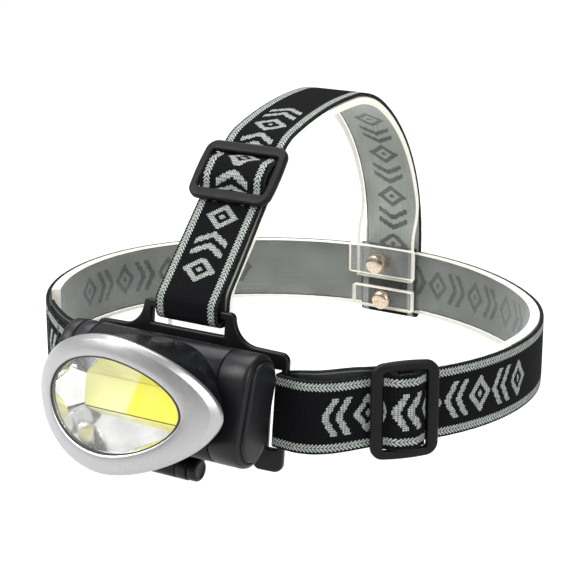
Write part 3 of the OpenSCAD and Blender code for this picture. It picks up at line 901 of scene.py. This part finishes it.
def hump(name, where, body, node, s0, way, phase):
    """Webbing that rides over a slider's middle bar."""
    turns = [(3, 42), (0, 2.1), (3, -42), (0, 3.4), (3, -42), (0, 2.1), (3, 42)]
    path = walk((HUMP_FROM, HUMP_RISE, 0), turns, 0.5)
    shift = (-HUMP_FROM - path[-1][0]) / 2
    rotation = where.to_3x3()
    stations = []
    for (x, z, h), at in zip(path, lengths(path)):
        a = radians(h)
        out = rotation @ Vector((-sin(a), 0, cos(a)))
        p = where @ Vector((x + shift, 0, z)) + out * STRAP_T
        stations.append((p, rotation @ Vector((0, -way, 0)), out, s0 + way * (at - HUMP_MIDDLE)))
    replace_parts(strap(name, stations, body, phase, HUMP_W), node)


STITCHES, STITCH_STEP = 11, 2.2


def stitch_row(name, start, along, out):
    """A row of short raised threads from start, each lying along the row."""
    verts, faces = [], []
    side = along.cross(out).normalized()
    for k in range(STITCHES):
        middle = start + along * (STITCH_STEP * k)
        base = len(verts)
        for t, r in ((-0.9, 0.05), (-0.7, 0.2), (0.0, 0.26), (0.7, 0.2), (0.9, 0.05)):
            for i in range(6):
                a = pi * i / 3
                rise = r * sin(a) - abs(t) * 0.12
                verts.append(middle + along * t + side * (r * cos(a)) + out * rise)
        faces += [tuple(base + x for x in f) for j in range(4) for f in strip(6, j)]
        faces += [tuple(range(base, base + 6)), tuple(range(base + 24, base + 30))]
    piece(name, verts, faces, [THREAD], "band")


def band_stitches():
    """Two rows across the folded end on the side without a slider, and two rows at the rear."""
    up, right, back = Vector((0, 0, 1)), Vector((1, 0, 0)), Vector((0, 1, 0))
    for at in (-47.5, -58.0):
        a = radians(at)
        out = Vector((-cos(a), sin(a), 0))
        x, y = -FRONT_C[0] - FRONT_R * cos(a), FRONT_C[1] + FRONT_R * sin(a)
        start = Vector((x, y, 0)) + out * 0.05 - up * 11
        stitch_row(f"band_stitches_{abs(int(at))}", start, up, out)
    for row, z in enumerate((15.6, 17.4)):
        stitch_row(f"rear_stitches_{row}", Vector((-11, 79.55, z)), right, back)


# ---- Clear formers and clamp ----
FORMER_T, CROWN_FORMER_T = 3.4, 2.6


def former_ribbon(name, path, near_d, far_d, place, node):
    """A clear strip along a path, its broad faces clear and its sawn edges bright."""
    half = STRAP_W / 2
    verts, faces = [], []
    for x, y, h in path:
        a = radians(h)
        for d, v in ((near_d, -half), (near_d, half), (far_d, half), (far_d, -half)):
            verts.append(place(x + sin(a) * d, y - cos(a) * d, v))
    for k in range(len(path) - 1):
        faces += strip(4, k)
    n = len(verts)
    faces += [(0, 1, 2, 3), (n - 4, n - 3, n - 2, n - 1)]
    kinds = [0, 1, 0, 1] * (len(path) - 1) + [1, 1]
    obj = piece(name, verts, faces, [CLEAR, BRIGHT], "band", WORLD, kinds)
    stands_for(obj, node, 30)


def formers():
    near_d = STRAP_T + 0.2
    half = walk((0, RING_Y, 0), [(REAR_R, -47.84), (SIDE_R, -39.46), (FRONT_R, -34)], 2.5)
    ring = [(-x, y, -h) for x, y, h in half[:0:-1]] + half
    former_ribbon(
        "headband_former_strip", ring, near_d, near_d + FORMER_T, lambda x, y, v: (x, y, v),
        "headband_former",
    )
    steps = [
        (0, 11), (14, -42), (0, 34), (28.48, 15.34), (28.48, -15.34), (18.3, -28.4),
        (145.15, -17.6), (40.03, -31.2), (71.8, -44), (18, -40.16), (18, 25.36), (0, 15.1),
    ]
    former_ribbon(
        "crown_former_strip", walk((-66, 16, 88), steps, 2.0), 0, CROWN_FORMER_T,
        lambda y, z, v: (v, y, z), "crown_former",
    )


def clear_plate(name, low, high, node):
    """A small clear plate with polished faces and bright edges."""
    w, thick, h = [b - a for a, b in zip(low, high)]
    where = moved(*[(a + b) / 2 for a, b in zip(low, high)]) @ spun(90, "X")
    obj = pierced(name, [rounded2(w, h, 0.7, 4)], thick, 0.35, [CLEAR, BRIGHT], "band", where)
    for p in obj.data.polygons:
        p.material_index = 0 if abs(p.normal.y) > 0.98 else 1
    stands_for(obj, node)


def brass(name, profile, y, z, count, ribs=0, rib_depth=0.0):
    """A turned fitting of the clamp, which starts at (y, z) and points to the rear."""
    where = moved(0, y, z) @ spun(-90, "X")
    return turned(name, profile, [BRASS], "band", where, count, ribs, rib_depth)


def rear_clamp():
    clear_plate("upper_clamp_plate", (-15.5, 68.4, 2), (14.5, 69.9, 14.4), "upper_clamp")
    clear_plate("lower_clamp_plate", (-14, 68.9, -12), (13.5, 71.7, -3.4), "lower_clamp")
    clear_plate("rear_clamp_plate", (-14, 79.6, -13), (14, 80.6, 19), "rear_plate")
    post = [
        (0.6, 0), (3.1, 0.0), (3.6, 0.25), (3.8, 0.7), (3.8, 5.9), (3.5, 6.5), (3.45, 7.1),
        (2.1, 7.1), (2.1, 20.4), (1.8, 20.7),
    ]
    stands_for(brass("upper_binding_post", post, 61.2, POST_Z[0], 60, 30, 0.006), "upper_post")
    head = [
        (0.5, 0.0), (2.6, 0.0), (3.4, 0.35), (3.8, 1.0), (3.8, 2.3), (3.6, 2.5), (2.1, 2.5),
        (2.1, 15.3), (1.8, 15.6),
    ]
    screw = brass("lower_binding_screw", head, 66.3, POST_Z[1], 60)
    slot_cut(screw, (0, 66.3, POST_Z[1]), (9, 1.9, 1.0))
    stands_for(screw, "lower_screw")
    nut = [(1.9, 0), (3.4, 0), (3.75, 0.25), (3.75, 1.15), (3.4, 1.4), (2.15, 1.4)]
    upper, _ = [brass(f"clamp_nut_{k}", nut, 80.7, z, 6) for k, z in enumerate(POST_Z)]
    stands_for(upper, "clamp_nuts")


def slot_cut(obj, middle, size):
    """Cuts a straight screwdriver slot."""
    mesh = bpy.data.meshes.new("cutter")
    bm = bmesh.new()
    bmesh.ops.create_cube(bm, size=1.0)
    for v in bm.verts:
        v.co = Vector([(m + c * s) * MM for m, c, s in zip(middle, v.co, size)])
    bm.to_mesh(mesh)
    bm.free()
    cutter = in_scene("cutter", mesh)
    m = obj.modifiers.new("slot", "BOOLEAN")
    m.object = cutter
    m.operation = "DIFFERENCE"
    m.solver = "EXACT"
    applied(obj)
    bpy.data.objects.remove(cutter)
    crisp(obj)


# ---- Sliders ----
END_BAR, RAIL, DISHED = 4.0, 3.3, 0.25


def bowed(outline, width, drop):
    """Divides the long edges, and draws the ends in towards the corners so that they bow out."""
    out = []
    for (x0, y0), (x1, y1) in zip(outline, outline[1:] + outline[:1]):
        n = 8 if hypot(x1 - x0, y1 - y0) > 3 else 1
        for k in range(n):
            x, y = x0 + (x1 - x0) * k / n, y0 + (y1 - y0) * k / n
            out.append((x, y * (1 - 2 * drop / SLIDER_H * (2 * x / width) ** 2)))
    return out


def slider(name, where, node, body):
    """Tri-glide: a rounded frame with two windows and a middle bar."""
    window_w = (SLIDER_W - 3 * END_BAR) / 2 - 0.2
    window_h = SLIDER_H - 2 * RAIL
    offset = SLIDER_W / 4 - END_BAR / 4 + 0.15
    outlines = [bowed(rounded2(SLIDER_W, SLIDER_H, 4.0), SLIDER_W, 0.8)]
    outlines += [rounded2(window_w, window_h, 1.2, 5, x) for x in (-offset, offset)]
    lift = where @ moved(0, 0, SLIDER_GAP + SLIDER_T / 2)

    def dished(c):
        """The middle bar sits a little lower than the rails."""
        low = max(0.0, 1 - abs(c.x) / 3.0) if abs(c.y) < SLIDER_H / 2 - RAIL - 0.2 else 0
        return (c.x, c.y, c.z - DISHED * low)

    obj = pierced(name, outlines, SLIDER_T, 0.8, [SLIDER_BLACK], body, lift, dished)
    stands_for(obj, node)


# ---- Bracket ----
def bent(c):
    """Bends a flat plate in X and Z round the bracket's radius."""
    t = asin(max(-1, min(1, c.x / PLATE_R)))
    r = PLATE_R - PLATE_T / 2 - c.z
    return (r * sin(t) * PLATE_R / (PLATE_R - PLATE_T / 2), PLATE_R - r * cos(t), c.y)


def bracket():
    half = [(24, -17)]
    half += arc2(31, -21.5, 2.5, 200, 270)
    half += arc2(EAR_X - 3, -21, 3, 270, 360)
    half += arc2(EAR_X - 3, 14, 3, 0, 90)
    half += arc2(27.5, 26.4, 9, 270, 190, 10)
    half += arc2(16.5, BAR_TOP - 2, 2, 0, 90)
    outlines = [half + [(-x, z) for x, z in half[::-1]]]
    outlines.append([(-14.8, 19.5), (14.8, 19.5), (14.8, 24.6), (-14.8, 24.6)])
    for m in (-1, 1):
        outlines.append([(m * 33.4, -16), (m * 36.9, -16), (m * 36.9, 11.2), (m * 33.4, 11.2)])
    cuts = range(-38, 39, 4)
    obj = pierced(
        "bracket_plate", outlines, PLATE_T, 0.7, [BRACKET_BLACK], "band", PLATE, bent, cuts
    )
    stands_for(obj, "bracket")
    arm = [(-76.3, -11.5), (-76.8, -20.5), (-81, -26)] + circle2(HINGE_Y, HINGE_Z, KNUCKLE_R)
    for name, x0, x1 in (("hinge_arm_left", -14, -7.2), ("hinge_arm_right", 7.2, 11.4)):
        slab(name, hull2(arm), x0, x1, [BRACKET_BLACK], "band", edge=0.45)


# The forehead pad's size, its faces behind the bracket, and (depth, share of size) of its skin
PAD_W, PAD_H, PAD_BACK, PAD_FRONT, PAD_CROWN = 62.0, 31.0, 8.0, 2.9, 0.5
PAD_LEVELS = [
    (0.0, 0.93), (0.15, 0.985), (0.35, 1.0), (0.55, 0.995), (0.72, 0.965), (0.86, 0.90),
    (0.95, 0.80), (0.99, 0.66), (1.0, 0.4), (1.0, 0.15),
]


def pad():
    """Forehead pad: a soft cushion glued behind the bracket, crowned, with a pinched rim."""
    rings = []
    for f, k in PAD_LEVELS:
        ring = []
        for x, z in rounded2(PAD_W * k, PAD_H * (k if k > 0.9 else k * 0.96), 6 * k, 10):
            start = PAD_FRONT + PLATE_R - sqrt(PLATE_R**2 - x * x)
            y = start + (PAD_BACK - start) * f
            if f > 0.5:
                square = (1 - (x / (PAD_W / 2)) ** 2) * (1 - (z / (PAD_H / 2)) ** 2)
                y += (PAD_CROWN * square - 0.45) * f
            ring.append((x, min(y, PAD_BACK), z - 1))
        rings.append(ring)
    obj = loft("forehead_cushion", rings, [FOAM], "band", PLATE)
    m = obj.modifiers.new("smooth", "SUBSURF")
    m.levels = m.render_levels = 1
    applied(obj)
    stands_for(obj, "forehead_pad")


# ---- Hinge ----
def hinge():
    along = moved(0, HINGE_Y, HINGE_Z) @ spun(90, "Y")
    profile = [
        (0.6, -15.0), (1.3, -15.0), (1.5, -14.7), (1.5, 11.6), (3.4, 11.6), (3.9, 12.0),
        (3.9, 14.4), (3.6, 14.9), (2.9, 15.2), (2.6, 15.0), (1.0, 14.8),
    ]
    pin = turned("hinge_pin_knob", profile, [BRACKET_BLACK], "band", along, 72, 18, 0.012)
    stands_for(pin, "hinge_pin")


# ---- Battery tube ----
def battery_tube():
    profile = [
        (-36, 1.4), (-27.2, 1.4), (-27, 1.2), (-27, 0.5), (-26.85, 0.18), (-26.5, 0), (26.5, 0),
        (26.85, 0.18), (27, 0.5), (27, 1.2), (27.2, 1.4), (33.6, 1.4), (33.9, 1.55), (34, 1.8),
        (34, 2.4), (33.8, 2.6), (26, 2.6), (25.9, 1.6), (-25.4, 1.6),
    ]
    rings = [stadium(x, i) for x, i in profile]
    obj = loft("battery_tube_shell", rings, [BLACK], "lamp_head", TUBE)
    stands_for(obj, "battery_tube", 35)
    pin = TUBE.inverted() @ Vector((0, HINGE_Y, HINGE_Z))
    outline = hull2([(3, -17.2), (6.6, -14.8), (8.6, -11)] + circle2(pin.y, pin.z, KNUCKLE_R))
    slab("hinge_lug", outline, -7.0, 7.0, [BLACK], "lamp_head", TUBE, 0.45)


def end_cap(name, node, sign, x_in, body, inner):
    """A stadium cap with rounded shoulders, a groove and a raised face."""
    x = TUBE_X
    outer = [
        (x_in, 1.2), (x_in, 0.5), (x_in + 0.15, 0.18), (x_in + 0.5, 0), (x - 2.2, 0),
        (x - 1.4, 0.12), (x - 0.8, 0.42), (x - 0.35, 0.95), (x - 0.1, 1.6), (x - 0.35, 1.95),
        (x - 0.45, 2.2), (x - 0.3, 2.4), (x + 0.2, 2.5), (x + 0.6, 2.62), (x + 0.88, 2.95),
        (x + 0.98, 3.5), (x + 1.0, 4.6),
    ]
    rings = [[(sign * px, y, z) for px, y, z in stadium(at, i)] for at, i in inner + outer]
    stands_for(loft(name, rings, [CAP_BLACK], body, TUBE), node, 40)


def end_pieces():
    hollow = [(TUBE_X - 2.1, 1.3), (27.3, 1.3)]
    end_cap("battery_cap_shell", "battery_cap", 1, 27.1, "cap", hollow)
    end_cap("left_cap_shell", "left_cap", -1, 33.1, "lamp_head", [(33.1, 1.4)])
    collar = [
        (-32.9, 1.3), (-32.9, 0.5), (-32.75, 0.18), (-32.4, 0), (-27.6, 0), (-27.25, 0.18),
        (-27.1, 0.5), (-27.1, 1.3),
    ]
    rings = [stadium(x, i) for x, i in collar]
    obj = loft("left_collar_ring", rings, [CAP_BLACK], "lamp_head", TUBE, True)
    stands_for(obj, "left_collar", 40)


# ---- Lamp front ----
# Rings of the neck, from the tube to the bezel: half width, half height, power, depth, sweep
NECK = [
    (27, 18.4, 3.2, -1.5, 0),
    (29.5, 19.4, 2.5, -12, 4),
    (33.6, 21, 2, -22.5, 10),
    (BEZEL_A - 0.8, BEZEL_B - 0.8, EYE_N, -BEZEL_OUT + 1.4, BEZEL_SWEEP),
]


def eased_key(t, a, b, c, d):
    """Catmull-Rom curve from b to c."""
    bend = (2 * a - 5 * b + 4 * c - d) * t * t + (3 * b - a - 3 * c + d) * t**3
    return 0.5 * (2 * b + (c - a) * t + bend)


def smooth_rings(keys, per_gap):
    """Rings eased through the key rings."""
    padded = [keys[0], *keys, keys[-1]]
    out = []
    for four in zip(padded, padded[1:], padded[2:], padded[3:]):
        for k in range(per_gap):
            out.append(tuple(eased_key(k / per_gap, *values) for values in zip(*four)))
    out.append(keys[-1])
    return out


def lamp_part(name, rings, material, node, angle=None, joined=False):
    """A loft on the lamp head, about the beam."""
    obj = loft(name, rings, [material], "lamp_head", BEAM, joined)
    stands_for(obj, node, angle)


def housing():
    rings = [eye(*k) for k in smooth_rings(NECK, 7)]
    rings.append(eye(BEZEL_A - 2.4, BEZEL_B - 2.4, EYE_N, -BEZEL_OUT + 1.0, BEZEL_SWEEP))
    rings += [eye(30.5, 18.6, 2, -22.5, 10), eye(25, 16, 3, -14, 1)]
    lamp_part("front_housing_shell", rings, BLACK, "front_housing", 40)


def bezel_ring(f, y):
    """Ring at depth y, from the bezel's outline at 0 to its opening at 1."""
    outside, opening = (BEZEL_A, BEZEL_B, EYE_N, BEZEL_SWEEP), (OPEN_A, OPEN_B, OPEN_N, OPEN_SWEEP)
    a, b, n, s = [start + (end - start) * f for start, end in zip(outside, opening)]
    return eye(a, b, n, y, s)


def bezel():
    profile = [
        (0.0, -29.7), (0.0, -30.55), (0.005, -30.8), (0.02, -31.05), (0.04, -31.25), (0.2, -32.42),
        (0.21, -32.48), (0.225, -32.53), (0.3, -32.7), (0.4, -32.9), (0.5, -33.06), (0.62, -33.2),
        (0.75, -33.27), (0.88, -33.2), (0.95, -33.06), (0.985, -32.85), (1.0, -32.55), (1.0, -30.9),
        (0.97, -30.7), (0.5, -30.6), (0.1, -29.5),
    ]
    rings = [bezel_ring(*at) for at in profile]
    lamp_part("front_bezel_shell", rings, SILVER, "front_bezel", 28, True)
    rim = [(1.0, -32.95), (1.03, -33.0), (1.05, -32.8), (1.05, -31.6), (1.0, -31.6)]
    rings = [bezel_ring(*at) for at in rim]
    lamp_part("lens_rim", rings, GASKET, "lens_gasket", joined=True)


def lens():
    """Clear lens with a shallow dome: outer skin, rim and inner skin."""
    dome = [(0.12, 0.0), (0.35, 0.06), (0.6, 0.22), (0.8, 0.45), (0.93, 0.66), (1.0, 0.85)]
    rings = []
    for levels, start, rise in ((dome, -0.55, 1.4), (dome[::-1], 0.85, 1.2)):
        for f, lift in levels:
            a, b = (OPEN_A - 0.25) * f, (OPEN_B - 0.25) * f
            rings.append(eye(a, b, OPEN_N, LIP_Y + start + lift * rise, OPEN_SWEEP * f * f))
    lamp_part("lens_shell", rings, LENS, "lens", 40)


PANEL_W, PANEL_LOW, PANEL_HIGH, PANEL_Y = 18.8, -5.6, 5.6, -16.2


def boxy(wider, taller, y, count, power):
    """Rounded rectangle ring about the beam, at depth y, larger than the LED panel on each side."""
    low, high = PANEL_LOW - taller, PANEL_HIGH + taller
    mid, half = (low + high) / 2, (high - low) / 2
    ring = eye(PANEL_W + wider, 1.0, power, y, 0, count)
    return [(x, y, z * half + mid) for x, _, z in ring]


def reflector():
    """Mirror trough: straight walls above and below, steep ends, and a flange to the opening."""
    count = 72
    rings = [
        boxy(0.04, 0.04, -16.1, count, 24),
        boxy(3.9, 2.9, -20.6, count, 14),
        eye(OPEN_A - 0.5, OPEN_B - 0.5, OPEN_N, LIP_Y + 2.3, OPEN_SWEEP, count),
        eye(OPEN_A + 0.2, OPEN_B + 0.2, OPEN_N, LIP_Y + 2.6, OPEN_SWEEP, count),
        boxy(4.7, 3.7, -20.5, count, 14),
        boxy(1.2, 1.2, -15.9, count, 24),
    ]
    lamp_part("reflector_trough", rings, MIRROR, "reflector", 16, True)


def led():
    levels = [(0, 0.25), (0, -0.05), (-0.2, -0.15), (-1.2, -0.22)]
    rings = [boxy(size, size, PANEL_Y + y, 96, 24) for size, y in levels]
    lamp_part("led_panel", rings, PHOSPHOR, "led_phosphor", 40)
    dam = rounded2(0.5, 0.16, 0.05, 2, PANEL_Y, PANEL_LOW - 0.1)
    slab("led_dam", dam, -PANEL_W, PANEL_W, [GASKET], "lamp_head", BEAM, 0.03)


def button():
    where = BEAM @ moved(BUTTON_X, BUTTON_Y, 15.4)
    profile = [
        (1.0, 0), (4.3, 0), (4.6, 0.15), (4.6, 0.7), (4.0, 0.8), (4.0, 4.5), (3.8, 4.95),
        (3.3, 5.15), (2.4, 5.0), (1.2, 4.75),
    ]
    obj = turned("push_button_cap", profile, [RUBBER], "button", where)
    stands_for(obj, "push_button")


# ---- Nodes kept from the CAD ----
KEPT = {
    SEAL: ["cap_seal"],
    TRAY: ["contact_carrier", "battery_tray"],
    STEEL: ["cap_contacts", "tube_contacts", "housing_screws", "switch", "hinge_clip"],
    CELL: ["cell_upper", "cell_middle", "cell_lower"],
    CIRCUIT: ["circuit_board"],
    WIRE: ["lead_wires"],
    BOARD: ["led_board"],
}


def kept_nodes():
    for material, names in KEPT.items():
        for name in names:
            for slot in nodes[name].material_slots:
                slot.material = material


# ---- Stage ----
LENS_MM, SENSOR_MM = 105.3, 36.0
CAMERA_PLACE, CAMERA_AIM = (0.3105, -0.5204, 0.1997), (-0.00273, -0.00165, 0.01483)
FLOOR_GAP, FLOOR_HALF = 0.0125, 3.0
SKY_BRIGHT = Vector((-0.70, -0.35, 0.62)).normalized()
SKY_RANGE = (0.06, 0.95)
# Each lamp's place, aim, size and power
LAMPS = {
    "key": ((-0.5, -0.6, 0.7), (0, -0.05, 0.02), (0.5, 0.5), 8.0),
    "fill": ((0.8, -0.3, 0.45), (0, 0, 0.02), (0.4, 0.6), 5.0),
    "top": ((-0.2, 0.2, 0.9), (0, 0, 0), (0.7, 0.7), 8.0),
}


def aimed(name, data, place, aim):
    """An object in the scene that stands at place and looks at aim."""
    obj = in_scene(name, data)
    obj.location = place
    obj.rotation_euler = (Vector(aim) - Vector(place)).to_track_quat("-Z", "Y").to_euler()
    return obj


def camera():
    data = bpy.data.cameras.new("camera")
    data.lens = LENS_MM
    data.sensor_width = SENSOR_MM
    bpy.context.scene.camera = aimed("camera", data, CAMERA_PLACE, CAMERA_AIM)


def lamps():
    for name, (place, aim, size, power) in LAMPS.items():
        data = bpy.data.lights.new(name, "AREA")
        data.shape = "RECTANGLE"
        data.size, data.size_y = size
        data.energy = power
        aimed(name, data, place, aim)


def sky():
    """White to the camera, and a soft gradient to all other rays."""
    g = Graph("studio", "worlds")
    way = g.node("ShaderNodeTexCoord", {}, "Generated")
    inputs = {0: way, 1: SKY_BRIGHT}
    facing = g.node("ShaderNodeVectorMath", inputs, "Value", operation="DOT_PRODUCT")
    values = dict(enumerate((facing, -0.1, 1.0, *SKY_RANGE)))
    fade = g.node("ShaderNodeMapRange", values, interpolation_type="SMOOTHSTEP")
    soft = g.node("ShaderNodeBackground", {"Strength": fade})
    white = g.node("ShaderNodeBackground", {"Color": (1, 1, 1), "Strength": 1.0})
    seen = g.node("ShaderNodeLightPath", {}, "Is Camera Ray")
    choose = g.node("ShaderNodeMixShader", {0: seen, 1: soft, 2: white})
    g.put(g.tree.nodes["World Output"].inputs[0], choose)
    bpy.context.scene.world = g.block


def stage():
    bpy.context.scene.view_settings.view_transform = "Standard"
    sky()
    mesh = bpy.data.meshes.new("floor")
    corners = ((-1, -1), (1, -1), (1, 1), (-1, 1))
    low = cad_box[0][2] - FLOOR_GAP
    verts = [(x * FLOOR_HALF, y * FLOOR_HALF, low) for x, y in corners]
    mesh.from_pydata(verts, [], [(0, 1, 2, 3)])
    mesh.materials.append(floor_paint())
    in_scene("floor", mesh)
    lamps()


camera()
stage()
headband()
crown()
hump("headband_hump", HEADBAND_SLIDER, "band_adjuster", "headband_loop", 197.0, -1, BAND_PHASE)
hump("crown_hump", CROWN_SLIDER, "crown_adjuster", "crown_loop", 112.4, 1, CROWN_PHASE)
slider("headband_slider_frame", HEADBAND_SLIDER, "headband_slider", "band_adjuster")
slider("crown_slider_frame", CROWN_SLIDER, "crown_slider", "crown_adjuster")
band_stitches()
formers()
rear_clamp()
bracket()
pad()
hinge()
battery_tube()
end_pieces()
housing()
bezel()
lens()
reflector()
led()
button()
kept_nodes()
